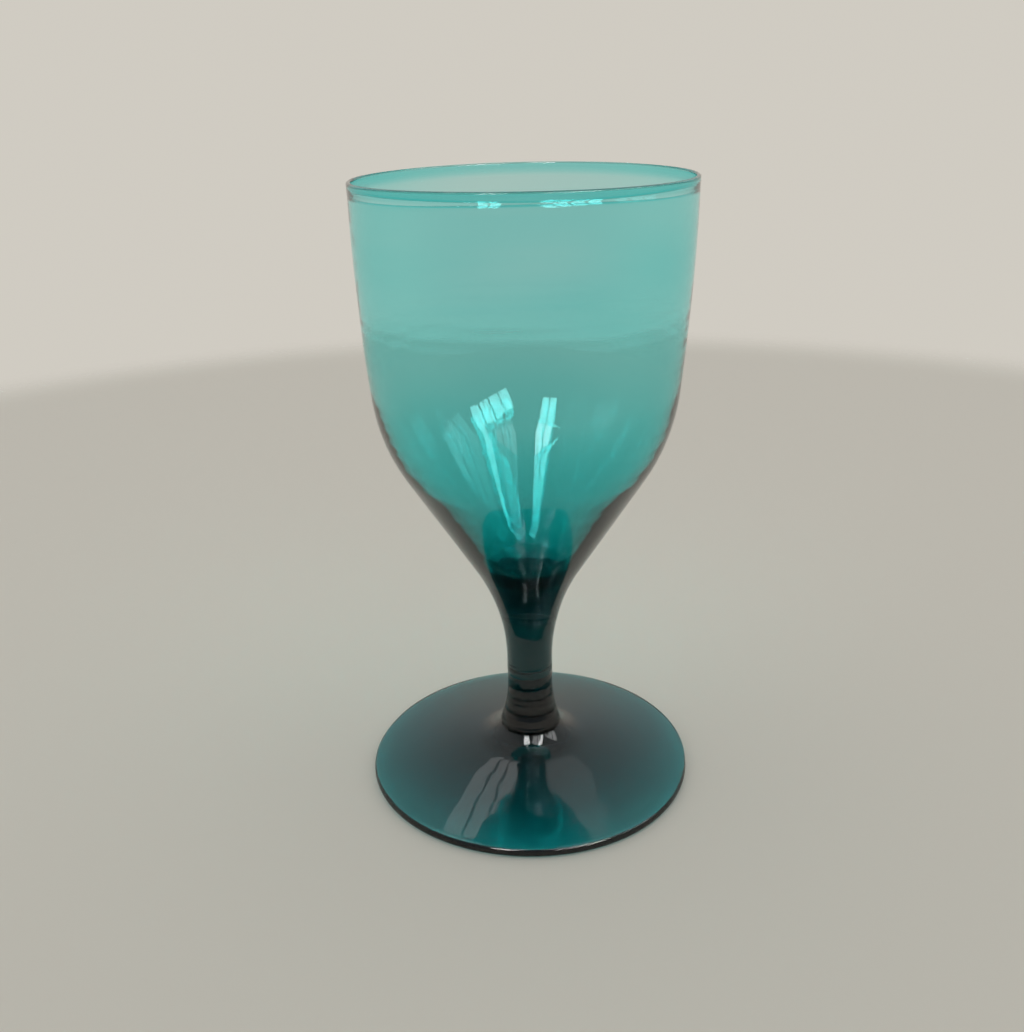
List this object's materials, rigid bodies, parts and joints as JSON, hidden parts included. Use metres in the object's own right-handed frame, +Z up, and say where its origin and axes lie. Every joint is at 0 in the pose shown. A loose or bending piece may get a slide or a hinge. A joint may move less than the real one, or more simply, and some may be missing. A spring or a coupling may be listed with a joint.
{
  "type": "wine glass",
  "caption": "Hand-blown green wine glass: deep rounded bowl drawn down to a short solid stem, with a low collar and a wide conical foot.",
  "frame": {"origin": "centre of the flat ring that the foot rests on, at table height", "axes": "+Z up through the foot, stem and bowl to the open rim; the glass is round about Z, so X and Y are free"},
  "size_m": [0.0704, 0.0704, 0.127],
  "materials": {
    "bowl_glass": "clear blue-green glass, thin and fire-polished, with faint blowing lines",
    "stem_glass": "the same blue-green glass, solid and so nearly black, smooth with faint tool rings",
    "foot_glass": "the same blue-green glass, smooth on top, with fine wear on the resting ring"
  },
  "bodies": {
    "root": {"bowl": "bowl_glass", "stem": "stem_glass", "collar": "stem_glass", "foot": "foot_glass"}
  },
  "joints": []
}
